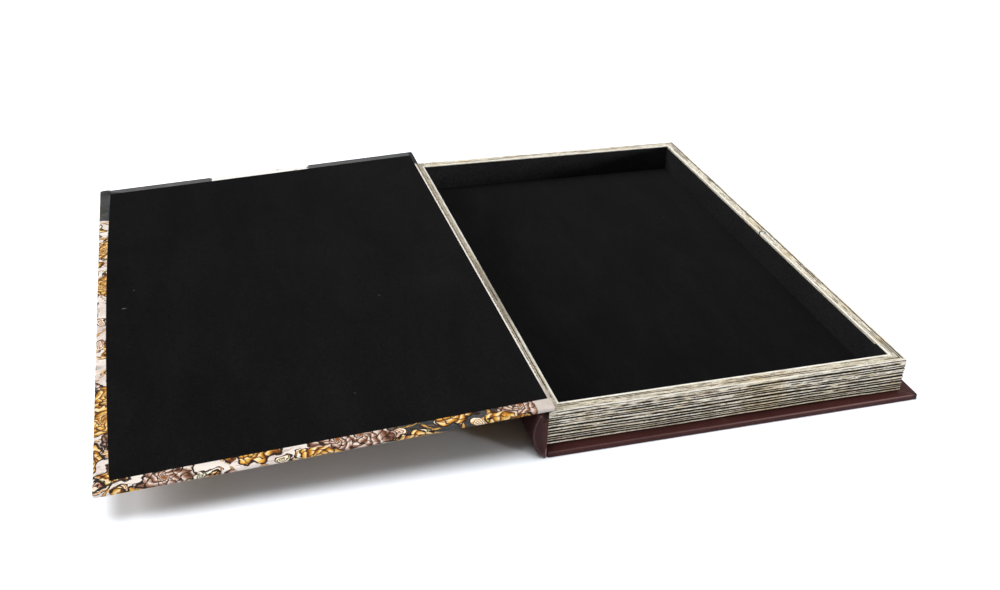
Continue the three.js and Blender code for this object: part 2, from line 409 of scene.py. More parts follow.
def page_edge_finish():
    """Paper edges in cream, ochre and grey; the open gaps between the gatherings are painted brown,
    and near black where wide open as painted shade.
    """
    f = Finish("cream page edges", specular_ior_level=0.15)
    along, leaf, _ = f.parts(f.uv("leaves"))
    open_gap = f.attribute("open_gap")
    rubbed = f.attribute("worn")

    def streaks(per_cm, per_leaf, detail, roughness):
        place = f.joined(f.times(along, per_cm), f.times(leaf, per_leaf))
        return f.noise(place, 1.0, detail, roughness)

    bands = streaks(0.5, 0.5, 2, 0.5)
    hairs = streaks(0.7, 2.2, 1, 0.5)
    layers = streaks(0.6, 1.7, 2, 0.5)
    dashes = streaks(1.3, 3.4, 3, 0.65)
    fine = streaks(6.0, 5.0, 3, 0.6)
    patches = f.noise(f.coordinates, 20, 3, 0.6)
    grit = f.noise(f.coordinates, 900, 2, 0.6)
    x, y, z = f.parts(f.coordinates)
    on_rim = f.step(z, 0.0276, 0.0280)
    front = f.times(f.step(y, -0.1820, -0.1835), on_rim)
    beside_lid = f.times(f.step(x, -0.1160, -0.1172), on_rim)
    flecks = f.times(f.step(f.noise(f.coordinates, 620, 2, 0.6), 0.52, 0.60), beside_lid)
    paper = f.shades(layers, (0.30, 204, 190, 158), (0.42, 244, 233, 206),
                     (0.54, 255, 252, 242), (0.68, 240, 226, 194))
    paper = f.tint(
        paper,
        (f.step(patches, 0.52, 0.70), (222, 196, 142), 0.55),
        (f.step(bands, 0.50, 0.62), (150, 132, 98), 0.24),
        (f.step(dashes, 0.51, 0.59), (84, 68, 46), 0.66),
        (f.step(dashes, 0.44, 0.38), (255, 252, 238), 0.40),
        # Hair-thin dark lines run between the leaves.
        (f.near(hairs, 0.5, 0.022, 0.008), (72, 58, 38), 0.70),
        (f.step(fine, 0.56, 0.70), (130, 112, 82), 0.35),
        (f.step(grit, 0.53, 0.63), (112, 98, 74), 0.38),
        (f.step(z, 0.022, 0.004), (150, 128, 96), 0.28),
        # The front rim is duller than the others, and the one beside the lid darker, with dark
        # flecks.
        (front, (150, 136, 106), 0.22),
        (beside_lid, (158, 150, 126), 0.45),
        (flecks, (92, 86, 66), 0.55))
    edge = f.plus(f.math("PINGPONG", leaf, 0.5), f.times(f.minus(dashes, 0.5), 0.36))
    groove = f.times(f.step(edge, 0.40, 0.12), open_gap)
    # Halfway along the spine side the lip is darker brown and not rubbed white; the other edges are
    # rubbed white.
    middle = f.times(f.near(y, -0.042, 0.066, 0.030), beside_lid)
    rubbed = f.times(rubbed, f.minus(1.0, f.times(middle, 0.75)))
    # A gap runs round the magnet; its wall is painted dark as shade in the bore.
    from_magnet = f.vector("LENGTH", f.joined(f.minus(x, MAGNET_X * MM), y))
    painted_bore_shade = f.times(f.step(from_magnet, 0.0028, 0.0026), f.step(z, 0.02, 0.021))
    colour = f.tint(
        paper,
        # The open gaps: brown, then near black where wide open, a painted shade in the gaps.
        (f.step(groove, 0.08, 0.36), (86, 66, 44)),
        (f.step(groove, 0.24, 0.46), (16, 11, 7)),
        (middle, (96, 84, 64), 0.5),
        (rubbed, (255, 254, 247)),
        (painted_bore_shade, (48, 40, 30)))
    height = f.minus(f.times(dashes, -1.0), f.times(groove, 0.6))
    normal = f.bump(height, 0.3, 1.0, f.bump(fine, 0.12, 0.6))
    return f.wear(colour, 0.78, normal)


def leather_finish():
    """Maroon leatherette, with painted highlights along its edges, and folds at the cover's
    corners.
    """
    f = Finish("maroon leatherette", specular_ior_level=0.10)
    pebble = f.step(f.cells(f.coordinates, 2100, "DISTANCE_TO_EDGE")["Distance"], 0.0, 0.32)
    fine = f.noise(f.coordinates, 2600, 3, 0.6)
    rub = f.noise(f.coordinates, 60, 4, 0.6)
    cloud = f.noise(f.coordinates, 14, 3, 0.5)
    x, y, z = f.parts(f.coordinates)
    from_fore_edge = f.minus(COVER[1] * MM, x)
    from_end = f.minus(COVER[3] * MM, f.absolute(y))
    at_end = f.step(f.absolute(y), 0.1966, 0.1970)

    # Painted highlights: pale lines along the cover's rounded edge, stronger toward the fore edge,
    # and along the arc of the spine's ends and their crease.
    side = f.smaller(from_fore_edge, from_end)
    side = f.plus(side, f.times(f.minus(rub, 0.5), 0.0006))
    edge = f.times(f.step(side, 0.0011, 0.0006), f.step(z, 0.0032, 0.0037),
                   f.step(z, 0.0046, 0.0043), f.step(x, -0.08, 0.10, 0.16, 0.50))
    centre, radius = arc_middle()
    reach = f.vector("LENGTH", f.joined(f.minus(x, centre.x * MM), f.minus(z, centre.z * MM)))
    arc_highlight = f.times(f.near(reach, (radius - 0.1) * MM, 0.0006, 0.0002), at_end,
                  f.step(x, -0.1288, -0.1292))
    crease_highlight = f.times(f.near(x, (GUTTER_SIDE - 0.4) * MM, 0.0005, 0.0002), at_end,
                     f.step(z, 0.009, 0.005))
    pale = f.larger(edge, f.larger(f.times(arc_highlight, 0.6), crease_highlight))

    # Mitred turn-ins show as a line from each corner of the cover to the block, painted dark as the
    # shade of the lap's step, with a painted highlight on the lap's edge beside it.
    wander = f.times(f.minus(f.noise(f.coordinates, 180, 1), 0.5), 0.0012)
    across = f.plus(f.minus(f.times(from_fore_edge, 0.78), from_end), wander)
    on_ledge = f.times(f.step(z, 0.0030, 0.0037), f.step(from_fore_edge, 0.016, 0.013))
    fold = f.times(f.near(across, 0.0, 0.0005, 0.0001), on_ledge)
    lap = f.times(f.step(across, -0.0004, 0.0004), on_ledge)
    beside = f.times(f.near(across, 0.0009, 0.0006, 0.0002), on_ledge)
    from_corner = f.vector("LENGTH", f.joined(from_fore_edge, from_end))

    colour = f.tint(
        f.shades(cloud, (0.3, 60, 30, 28), (0.55, 69, 36, 34), (0.75, 77, 42, 39)),
        (f.step(pebble, 0.4, 0.0), (46, 20, 18)),
        (f.step(rub, 0.56, 0.8), (104, 72, 68), 0.35),
        (pale, (140, 112, 110)),
        # Painted shade: the cover's outer edge darker toward the floor, and the leather by the
        # spine and the spine's back darker under the lid.
        (f.step(z, 0.0030, 0.0006), (38, 20, 18), 0.45),
        (f.step(x, -0.1225, -0.1245), (36, 18, 17), 0.22),
        (f.step(x, -0.1300, -0.1330), (32, 16, 15), 0.45),
        (fold, (24, 12, 12), 0.9),
        (beside, (122, 88, 84), 0.40),
        # The tip of each corner is darker.
        (f.step(from_corner, 0.0052, 0.0022), (26, 14, 14), 0.85))
    roughness = f.plus(0.42, f.times(fine, 0.2))
    normal = f.bump(pebble, 0.05, 0.8, f.bump(fine, 0.02, 0.5))
    normal = f.bump(f.minus(f.times(lap, 0.6), fold), 0.35, 1.0, normal)
    return f.wear(colour, roughness, normal)


def velvet_finish(name, painted_sheen_lift=1.0, marks=True):
    """Black velvet, with specks, lint and the plate's imprint if asked, made paler by a factor as a
    painted sheen.
    """
    f = Finish(name, specular_ior_level=0.0, sheen_weight=0.02, sheen_roughness=0.5)
    place = f.coordinates
    nap = f.noise(place, 1900, 2, 0.7)
    brushed = f.noise(f.stretched(place, (1.0, 0.35, 1.0)), 34, 4, 0.6, 0.6)
    weave = f.noise(f.stretched(place, (1.0, 0.5, 1.0)), 520, 2, 0.5)
    pile = f.noise(place, 1500, 3, 0.7)

    def lifted(*shade):
        return tuple(painted_sheen_lift * v for v in tone(*shade))

    colour = f.ramp(brushed, (0.25, lifted(12, 12, 13)), (0.5, lifted(16, 16, 17)),
                    (0.8, lifted(21, 21, 21)))
    colour = f.mix(f.times(f.step(weave, 0.45, 0.7), 0.5), colour, lifted(11, 11, 12))
    colour = f.mix(f.times(f.step(pile, 0.48, 0.66), 0.55), colour, lifted(34, 34, 35))
    if marks:
        specks = f.cells(place, 55)
        rare = f.step(f.parts(specks["Color"])[0], 0.88, 0.90)
        speck = f.times(f.step(specks["Distance"], 0.045, 0.020), rare)
        lint = f.cells(f.stretched(place, (1.0, 0.16, 1.0), 0.6), 70)
        lint_rare = f.step(f.parts(lint["Color"])[1], 0.93, 0.95)
        thread = f.times(f.step(lint["Distance"], 0.018, 0.008), lint_rare)
        # The plate under the lid's lining has pressed a short line into the pile.
        x, y, _ = f.parts(place)
        pressed = f.times(f.near(x, -0.3722, 0.0017, 0.0010), f.near(y, 0.0, 0.0006, 0.0003))
        colour = f.tint(colour, (speck, (104, 102, 98), 0.6), (thread, (96, 94, 90), 0.45),
                        (pressed, (92, 92, 92)))
    return f.wear(colour, 0.95, f.bump(nap, 0.12, 0.7, f.bump(brushed, 0.5, 0.25)))


def canvas_finish():
    """Printed canvas: rosettes of curling gold leaves, buds and stems on a cream and slate ground.
    sheet is the unfolded canvas in decimetres, lid the place on the lid in millimetres."""
    f = Finish("printed canvas", specular_ior_level=0.15)
    sheet = f.uv("sheet")
    u, v, _ = f.parts(sheet)
    lid_x, lid_y, _ = f.parts(f.uv("lid"))
    inner = f.attribute("inner_face")

    def sway(place):
        return f.times(f.minus(f.noise(place, 7.0, 2, 0.5), 0.5), 0.16)

    shifted = f.vector("ADD", sheet, (3.1, 5.7, 0.0))
    bent = f.vector("ADD", sheet, f.joined(sway(sheet), sway(shifted)))
    rough = f.minus(f.noise(sheet, 26.0, 3, 0.6), 0.5)

    # Ground: cream, with slate toward the head and the hinge.
    wash = f.noise(sheet, 5.0, 4, 0.6)
    ground = f.shades(wash, (0.25, 206, 190, 182), (0.5, 236, 224, 216), (0.75, 250, 242, 230))
    slate = f.shades(wash, (0.3, 42, 44, 46), (0.55, 60, 63, 64), (0.8, 94, 96, 96))
    head_edge = f.times(f.step(v, 3.945, 3.955), f.step(v, 4.018, 4.006))
    slate = f.tint(slate, (head_edge, (20, 20, 21), 0.85),
                   (f.step(v, 4.016, 4.028), (120, 120, 120), 0.35))
    zone = f.noise(f.stretched(sheet, (0.55, 0.8, 1.0)), 1.4, 3, 0.55, 0.4)
    zone = f.plus(zone, f.times(f.step(v, 3.35, 3.62), 0.5), f.times(f.step(u, 1.0, 1.9), 0.26))
    strokes = f.noise(f.stretched(bent, (1.0, 5.0, 1.0), 0.6), 9.0, 3, 0.6)
    colour = f.mix(f.step(zone, 0.585, 0.605), ground, slate)
    colour = f.tint(colour, (f.step(strokes, 0.56, 0.66), (128, 104, 88), 0.5))

    # A pale cloud in the print reaches over the head edge.
    cloud = f.times(f.near(f.plus(lid_x, f.times(rough, 9.0)), 132.0, 41.2, 40.2),
                    f.step(f.plus(v, f.times(rough, 0.3)), 3.70, 3.74))
    veins = f.times(f.step(strokes, 0.57, 0.64), 0.6)
    colour = f.mix(cloud, colour, f.mix(veins, tone(255, 253, 248), tone(176, 160, 142)))

    # Stems wind between the motifs. The turn-in at the head is plain.
    plain_ends = f.minus(1.0, f.times(inner, f.step(v, 3.34, 3.38)))
    winding = f.absolute(f.minus(f.noise(bent, 3.6, 1, 0.4), 0.5))
    stem = f.times(f.step(winding, 0.030, 0.024), f.step(strokes, 0.44, 0.50), plain_ends)
    stem_colour = f.mix(f.step(winding, 0.018, 0.010), tone(64, 38, 22), tone(216, 164, 84))
    colour = f.mix(stem, colour, stem_colour)

    # Small buds.
    bud = f.cells(bent, 8.5, "F1", 0.95, "2D")
    bud_reach = f.plus(bud["Distance"], f.times(rough, 0.24))
    bud_kind, bud_turn, _ = f.parts(bud["Color"])
    bud_on = f.times(f.step(bud_kind, 0.34, 0.35), plain_ends)
    around = f.times(f.spokes(f.vector("SUBTRACT", bent, bud["Position"])), 2.0)
    curl = f.times(f.math("LOGARITHM", f.plus(bud_reach, 0.02), math.e), 1.3)
    curl = f.math("FRACT", f.plus(around, f.plus(curl, bud_turn)))
    bud_body = f.tint(
        f.shades(bud_kind, (0.4, 196, 128, 110), (0.7, 232, 180, 92), (0.9, 120, 128, 112)),
        (f.step(curl, 0.30, 0.55), (252, 238, 216)),
        (f.step(f.math("PINGPONG", curl, 0.5), 0.13, 0.07), (36, 21, 13)),
        (f.step(bud_reach, 0.33, 0.36), (36, 21, 13)))
    colour = f.mix(f.times(f.step(bud_reach, 0.43, 0.41), bud_on), colour, bud_body)

    # Rosettes: two families of spirals cut each one into curling leaves.
    per_decimetre = 3.5
    flower = f.cells(bent, per_decimetre, "F1", 0.72, "2D")
    spot = f.vector("SUBTRACT", bent, flower["Position"])
    reach = f.times(f.vector("LENGTH", spot), per_decimetre)
    turn = f.spokes(spot)
    kind, hue, twist = f.parts(flower["Color"])
    spiral = f.math("LOGARITHM", f.plus(reach, 0.03), math.e)
    first = f.plus(f.times(turn, 6.0), f.times(spiral, 2.1))
    first = f.math("FRACT", f.plus(first, f.plus(twist, f.times(rough, 0.7))))
    second = f.minus(f.times(turn, 8.0), f.times(spiral, 1.7))
    second = f.math("FRACT", f.plus(second, f.plus(kind, f.times(rough, 0.7))))
    gold = f.shades(second, (0.0, 40, 22, 12), (0.12, 128, 76, 28), (0.34, 212, 146, 50),
                    (0.60, 244, 196, 98), (0.80, 253, 238, 196), (0.93, 200, 130, 46),
                    (1.0, 40, 22, 12))
    rose = f.shades(second, (0.0, 38, 24, 18), (0.14, 112, 74, 56), (0.4, 186, 148, 128),
                    (0.7, 246, 236, 226), (0.92, 140, 98, 72), (1.0, 38, 24, 18))
    leaves = f.tint(
        f.mix(f.step(hue, 0.70, 0.71), gold, rose),
        (f.step(first, 0.55, 1.0), (120, 64, 22), 0.55),
        (f.step(f.math("PINGPONG", first, 0.5), 0.11, 0.06), (34, 19, 11)),
        (f.step(reach, 0.075, 0.055), (150, 88, 34)))
    petals = f.waves(turn, 7, f.times(kind, 6.0))
    border = f.times(f.plus(0.42, f.times(kind, 0.14)), f.plus(1.0, f.times(petals, 0.12)))
    inside = f.minus(f.plus(border, f.times(rough, 0.16)), reach)
    flower_on = f.times(f.step(kind, 0.10, 0.11), plain_ends)
    colour = f.mix(f.times(f.step(inside, 0.0, 0.010), flower_on), colour, leaves)
    outline = f.times(f.near(inside, 0.0, 0.036, 0.018), flower_on)
    colour = f.tint(colour, (outline, (34, 19, 12)))

    # The hinge margin is plain, with a dark fold along its turn-in.
    plain = f.shades(wash, (0.3, 186, 174, 166), (0.7, 216, 206, 198))
    plain = f.mix(f.step(v, 3.72, 3.80), plain, slate)
    colour = f.mix(f.step(lid_x, 254.5, 255.5), colour, plain)
    from_lining = f.minus(lid_x, LID_SIZE.x - hinge_margin(0))
    from_lining = f.plus(from_lining, f.times(lid_y, hinge_margin(1) - hinge_margin(0)))
    strip = f.times(f.step(from_lining, -0.5, -0.2), inner, f.step(lid_y, 22, 34))
    dust = f.noise(f.stretched(sheet, (1.0, 0.3, 1.0)), 60, 3, 0.7)
    dusty = f.shades(dust, (0.35, 120, 110, 92), (0.6, 178, 168, 146))
    dotted = f.times(f.near(from_lining, 1.45, 0.75, 0.40),
                     f.step(f.noise(sheet, 90, 2), 0.40, 0.55))
    strip_colour = f.tint(
        f.mix(f.step(from_lining, 1.2, 1.4), tone(240, 234, 224), dusty),
        (dotted, (44, 36, 32), 0.9),
        (f.step(lid_y, 367, 371), (26, 27, 30)))
    colour = f.mix(strip, colour, strip_colour)

    # The weave takes the ink unevenly.
    weave = f.times(f.waves(u, CANVAS_THREADS), f.waves(v, CANVAS_THREADS))
    colour = f.mix(f.times(f.step(weave, 0.2, -0.9), 0.34), colour, tone(150, 138, 124), "MULTIPLY")
    rub = f.noise(sheet, 30, 3, 0.6)

    # Both free corners fold to a curved mitre, painted dark along the fold as shade.
    mitre = f.smaller(f.times(lid_x, MITRE_STEEP),
                      f.plus(f.times(lid_x, MITRE_SHALLOW), MITRE_KNEE))
    from_end = f.smaller(lid_y, f.minus(LID_SIZE.y, lid_y))
    fold = f.times(f.near(mitre, from_end, 1.3, 0.8), f.step(lid_x, 18.5, 17.0), inner)
    colour = f.tint(colour, (f.step(rub, 0.64, 0.8), (236, 228, 218), 0.30),
                    (fold, (38, 24, 16), 0.9))
    normal = f.bump(weave, 0.06, 0.7, f.bump(wash, 0.4, 0.2))
    normal = f.bump(f.times(fold, -1.0), 0.4, 1.0, normal)
    return f.wear(colour, 0.72, normal)


def board_finish(name, light, dark, scale):
    f = Finish(name, specular_ior_level=0.15)
    fibres = f.noise(f.stretched(f.coordinates, (1.0, 0.4, 1.0)), scale, 5, 0.7)
    flecks = f.cells(f.coordinates, scale * 3)
    colour = f.ramp(fibres, (0.3, dark), (0.7, light))
    colour = f.mix(f.step(flecks["Distance"], 0.16, 0.05), colour, dark)
    return f.wear(colour, 0.9, f.bump(fibres, 0.15, 0.6))


def steel_finish():
    f = Finish("plated steel", metallic=1.0)
    brushed = f.noise(f.stretched(f.coordinates, (1.0, 0.08, 1.0)), 3000, 3, 0.6)
    colour = f.shades(brushed, (0.3, 190, 192, 196), (0.7, 222, 224, 228))
    roughness = f.plus(0.22, f.times(brushed, 0.2))
    return f.wear(colour, roughness, f.bump(brushed, 0.01, 0.4))


def binding_cloth_finish():
    f = Finish("hinge cloth", specular_ior_level=0.15, sheen_weight=0.1)
    x, y, z = f.parts(f.coordinates)
    weave = f.times(f.waves(y, CLOTH_THREADS), f.waves(f.plus(x, z), CLOTH_THREADS))
    slub = f.noise(f.stretched(f.coordinates, (1.0, 0.1, 1.0)), 700, 3, 0.6)
    colour = f.shades(slub, (0.3, 58, 34, 30), (0.7, 84, 54, 48))
    colour = f.tint(colour, (f.step(weave, 0.3, -0.9), (40, 24, 22)))
    return f.wear(colour, 0.85, f.bump(weave, 0.08, 0.8))


def joint_finish():
    f = Finish("brown joint paper", specular_ior_level=0.2)
    ribs = f.noise(f.stretched(f.coordinates, (1.0, 1.0, 0.05)), 1500, 3, 0.6)
    colour = f.shades(ribs, (0.3, 40, 26, 22), (0.7, 74, 52, 44))
    return f.wear(colour, 0.7, f.bump(ribs, 0.1, 0.7))


PAGES = page_edge_finish()
LEATHER = leather_finish()
VELVET = velvet_finish("black velvet of the lid")
TRAY_VELVET = velvet_finish("black velvet of the tray")
# The walls' velvet is a paler copy: a painted sheen.
WALL_VELVET_PAINTED_SHEEN = velvet_finish("black velvet of the tray walls, painted paler as sheen", 2.3, False)
CANVAS = canvas_finish()
GREYBOARD = board_finish("greyboard", tone(150, 142, 128), tone(92, 84, 72), 420)
MILLBOARD = board_finish("brown millboard", tone(92, 66, 54), tone(52, 36, 30), 300)
FIBREBOARD = board_finish("fibreboard", tone(196, 170, 132), tone(150, 122, 88), 300)
STEEL = steel_finish()
CLOTH = binding_cloth_finish()
JOINT = joint_finish()


# Page block.


def uneven_levels(count, height):
    """Heights of the leaves' edges up a wall, unevenly spaced."""
    shares = [1 + 0.42 * math.sin(2.4 * i + 0.8) + 0.2 * math.sin(5.3 * i) for i in range(count)]
    levels, reached = [0.0], 0.0
    for share in shares:
        reached += share
        levels.append(reached * height / sum(shares))
    return levels


FACE_LEVELS = uneven_levels(12, RIM - WALL_BASE)
RIM_LEVELS = [0.0, 1.0, 2.2, 3.9, 5.3, 6.6, 7.7, 9.0]
FACE_ROWS, RIM_ROWS, COLUMN_WIDTH = 112, 36, 1.2


def wobble(*place):
    """Smooth noise between about -1 and 1."""
    return noise.noise(Vector(place))


def phase_of(value, levels):
    """Number of leaves below a height, with the share of the leaf that it cuts."""
    if value <= levels[0]:
        return (value - levels[0]) / (levels[1] - levels[0])
    for i in range(len(levels) - 1):
        if value < levels[i + 1]:
            return i + (value - levels[i]) / (levels[i + 1] - levels[i])
    return len(levels) - 1 + (value - levels[-1]) / (levels[-1] - levels[-2])


def groove_share(leaf, openness, width):
    """Share of a groove's depth at a spot. The width is a share of a leaf."""
    return openness * math.exp(-((abs(leaf - round(leaf)) / width) ** 2))


def face_relief(along, height):
    """Depth of the page edges on a wall's outer face, how open the nearest gap is, and the leaf."""
    wave = 0.62 * wobble(along / 75, height / 16, 1.7)
    wave += 0.20 * wobble(along / 24, height / 6, 4.2)
    wave += 0.12 * wobble(along / 7, height / 2.5, 8.1)
    leaf = phase_of(height + wave, FACE_LEVELS)
    gap = round(leaf)
    # The gaps open by stretches, and wider towards the foot.
    towards_foot = 1 - height / (RIM - WALL_BASE)
    openness = 0.36 + 0.75 * towards_foot + 0.95 * wobble(along / 36, gap * 7.3, 2.0)
    openness += 0.50 * wobble(along / 7.5, gap * 3.1, 5.0)
    openness = min(1.0, max(0.0, openness))
    # Some leaves stand back from their neighbours.
    set_back = 0.5 + 0.7 * wobble(along / 38, math.floor(leaf) * 5.7, 9.0)
    depth = 0.30 * set_back + 0.75 * groove_share(leaf, openness, 0.26)
    depth += 0.07 * wobble(along / 1.7, height / 0.6, 3.0)
    # The lowest half millimetre is set back over the cover, and counts as a fully open gap, so that
    # it is painted dark as a contact shadow.
    foot = max(0.0, 1 - height / 0.5)
    return max(0.0, depth) + 0.6 * foot, max(openness, foot), leaf


def rim_relief(along, inward, width, fore):
    """Depth of the grooves on the rim, how open the nearest one is, and the leaf."""
    wave = 0.26 * wobble(along / 80, inward / 5, 11.0)
    wave += 0.05 * wobble(along / 14, inward / 2, 12.0)
    leaf = phase_of((inward + wave) * END_WALL / width, RIM_LEVELS)
    gap = round(leaf)
    openness = 0.14 + 0.75 * wobble(along / 40, gap * 6.1, 13.0)
    openness += 0.45 * wobble(along / 8, gap * 2.7, 14.0)
    # The fore edge has one wide gap. Near the lining, and at the outer edge of the
    # other three walls, the gaps stay almost shut.
    if fore and gap == 2:
        openness += 1.2
    if inward > width - 1.6 or (gap < 2 and not fore):
        openness *= 0.2
    openness = min(1.5 if fore else 1.0, max(0.0, openness))
    return 0.05 + 0.30 * groove_share(leaf, openness, 0.16), openness, leaf + 40


def page_wall(name, node, corner, run, inward, length, width, before, after, offset, fore=False):
    """One wall of the page block: its section is swept between two mitres.
    run and inward are the directions along and into the wall."""
    top = RIM - WALL_BASE
    rim_start, rounded_from = 0.35, -125.2
    # The rows of points go up the face, across the rim and down inside.
    rows = [("face", top * i / FACE_ROWS) for i in range(FACE_ROWS)]
    rows += [("rim", rim_start + (width - rim_start) * i / RIM_ROWS)
             for i in range(RIM_ROWS + 1)]
    rows += [("inside", h) for h in (top - 0.5, top - 1.6, top * 0.5, 0.0)]
    columns = round(length / COLUMN_WIDTH)
    clear_selection()
    bpy.ops.mesh.primitive_grid_add(x_subdivisions=columns, y_subdivisions=len(rows) - 1, size=2)
    wall = newest(name)
    mesh = wall.data
    gaps = mesh.attributes.new("open_gap", "FLOAT", "POINT")
    worn = mesh.attributes.new("worn", "FLOAT", "POINT")
    marks = []
    for v in mesh.vertices:
        share = (v.co.x + 1) / 2
        kind, value = rows[round((v.co.y + 1) / 2 * (len(rows) - 1))]
        deep, high, groove, leaf, rubbed = 0.0, 0.0, 0.0, 0.0, 0.0
        reach = length * share
        if kind == "face":
            deep, groove, leaf = face_relief(offset + reach, value)
            crown = max(0.0, value - (top - 0.6))
            deep = min(deep, 1.2) + crown * crown * 0.5
            high = value
            rubbed = 1.6 * max(0.0, 1 - (top - value) / 0.6)
        elif kind == "rim":
            sunk, groove, leaf = rim_relief(offset + reach, value, width, fore)
            deep = max(value, 0.45)
            high = top - sunk - max(0.0, 0.9 - value) * 0.25
            rubbed = 0.85 if width - 1.3 < value else 0.0
            rubbed = max(rubbed, 1.7 * max(0.0, 1 - value / 1.3))
        else:
            deep, high, leaf = width, value, 30 + value
        start = MITRE_GAP + deep * before / width
        end = length - MITRE_GAP - deep * after / width
        place = corner + run * (start + (end - start) * share) + inward * deep
        # The edge beside the hinge is rounded, to clear the turning lid.
        worn_down = 0.45 * max(0.0, rounded_from - place.x) ** 2
        high = min(high, top - worn_down)
        v.co = Vector((place.x, place.y, WALL_BASE + high)) * MM
        gaps.data[v.index].value = groove
        rubbed *= 0.7 + 0.5 * wobble((offset + reach) / 9, value, 21.0)
        worn.data[v.index].value = min(1.0, rubbed)
        marks.append(((offset + reach) / 10, leaf))
    layer = mesh.uv_layers.active or mesh.uv_layers.new()
    layer.name = "leaves"
    for loop in mesh.loops:
        layer.data[loop.index].uv = marks[loop.vertex_index]
    # The underside and the mitred ends close the wall.
    choose(wall, "EDGE", lambda a, b: max(a.z, b.z) < WALL_BASE + 0.001
           and abs((b - a).normalized().dot(run)) > 0.9)
    bpy.ops.mesh.bridge_edge_loops()
    bpy.ops.mesh.select_all(action="DESELECT")
    bpy.ops.mesh.select_mode(type="EDGE")
    bpy.ops.mesh.select_non_manifold(extend=False)
    bpy.ops.mesh.edge_face_add()
    bpy.ops.mesh.select_all(action="SELECT")
    bpy.ops.mesh.normals_make_consistent(inside=False)
    to_object_mode()
    smooth(wall, 50)
    return hand_over(wall, "base", PAGES, [node])


def page_block():
    x0, x1, y0, y1 = BLOCK
    wide, long = x1 - x0, y1 - y0
    across, along = Vector((1, 0, 0)), Vector((0, 1, 0))
    page_wall("tail_page_wall", "front_wall", Vector((x0, y0, 0)), across, along,
              wide, END_WALL, SPINE_WALL, END_WALL, 0)
    fore = page_wall("fore_edge_page_wall", "fore_edge_wall", Vector((x1, y0, 0)), along, -across,
                     long, END_WALL, END_WALL, END_WALL, wide, True)
    page_wall("head_page_wall", "rear_wall", Vector((x1, y1, 0)), -across, -along,
              wide, END_WALL, END_WALL, SPINE_WALL, wide + long)
    page_wall("spine_page_wall", "spine_wall", Vector((x0, y1, 0)), -along, across,
              long, SPINE_WALL, END_WALL, END_WALL, 2 * wide + long)
    return fore


def upright_disc(name, radius, depth, z):
    """A disc in the fore-edge rim, its middle at this height."""
    clear_selection()
    bpy.ops.mesh.primitive_cylinder_add(vertices=48, radius=radius * MM, depth=depth * MM,
                                        location=Vector((MAGNET_X, 0, z)) * MM)
    return newest(name)


def rim_magnet(wall):
    """A small disc with a rounded rim, let into the fore-edge wall."""
    bore = upright_disc("magnet_bore", 2.5, 6, 27.8)
    take(wall)
    cut = wall.modifiers.new("Bore", "BOOLEAN")
    cut.operation, cut.solver, cut.object = "DIFFERENCE", "EXACT", bore
    bpy.ops.object.modifier_apply(modifier=cut.name)
    bpy.data.objects.remove(bore, do_unlink=True)
    disc = upright_disc("magnet_disc", 2, 4, 26.9)
    round_edges(disc, level, 0.25, 3)
    smooth(disc)
    hand_over(disc, "base", STEEL, ["rim_magnet"])


# Covers and spine.


def cut_window(obj, low, high, top):
    """Opens a window in a slab's upper face."""
    choose(obj, "FACE")
    for place, direction in (((low[0], 0, 0), (1, 0, 0)), ((high[0], 0, 0), (1, 0, 0)),
                             ((0, low[1], 0), (0, 1, 0)), ((0, high[1], 0), (0, 1, 0))):
        bpy.ops.mesh.select_all(action="SELECT")
        bpy.ops.mesh.bisect(plane_co=Vector(place) * MM, plane_no=direction)
    choose(obj, "FACE", lambda centre, normal: normal.z > 0.99 and centre.z > top - 0.01
           and low[0] < centre.x < high[0] and low[1] < centre.y < high[1])
    bpy.ops.mesh.delete(type="FACE")
    to_object_mode()


def back_cover():
    x0, x1, y0, y1 = COVER
    cover = slab("back_cover_leather", (x0, y0, 0), (x1, y1, COVER_THICKNESS))
    round_edges(cover, upright, 1.6, 4)
    round_edges(cover, level, 0.9, 4)
    inset = COVER_TURN_IN
    cut_window(cover, (x0 + inset, y0 + inset), (x1 - inset, y1 - inset), COVER_THICKNESS)
    finish_modifier(cover, "SOLIDIFY", thickness=0.5 * MM, offset=-1)
    smooth(cover, 40)
    return hand_over(cover, "base", LEATHER, ["back_leather"])


def swept_arc(centre, first, last, steps):
    """Spins what is selected round the spine's long axis."""
    start = first - centre
    end = last - centre
    angle = math.atan2(start.x * end.z - start.z * end.x, start.x * end.x + start.z * end.z)
    bpy.ops.mesh.spin(steps=steps, angle=angle, center=centre * MM, axis=(0, 1, 0))


def spine_leather():
    """Leather rolled round the spine from its toe to the step for the lid."""
    centre, radius = arc_middle()
    outer = radius + 1.0
    toe = centre + (SPINE_TOE - centre).normalized() * outer
    angle = math.acos((SPINE_TOP - centre.z) / outer)
    shoulder = centre + Vector((-math.sin(angle), 0, math.cos(angle))) * outer
    sheet = long_edge("spine_leather_cover", toe.x, toe.z, COVER[3])
    swept_arc(centre, toe, shoulder, 28)
    draw_out(Vector((SPINE_STEP - shoulder.x, 0, 0)))
    to_object_mode()
    finish_modifier(sheet, "SOLIDIFY", thickness=0.9 * MM, offset=-1)
    face_outwards(sheet)
    round_edges(sheet, lambda a, b: abs(a.y) > 197.9 and abs(b.y) > 197.9
                and abs((b - a).normalized().y) < 0.01, 0.2, 2)
    smooth(sheet, 40)
    return hand_over(sheet, "base", LEATHER, ["spine_leather"])


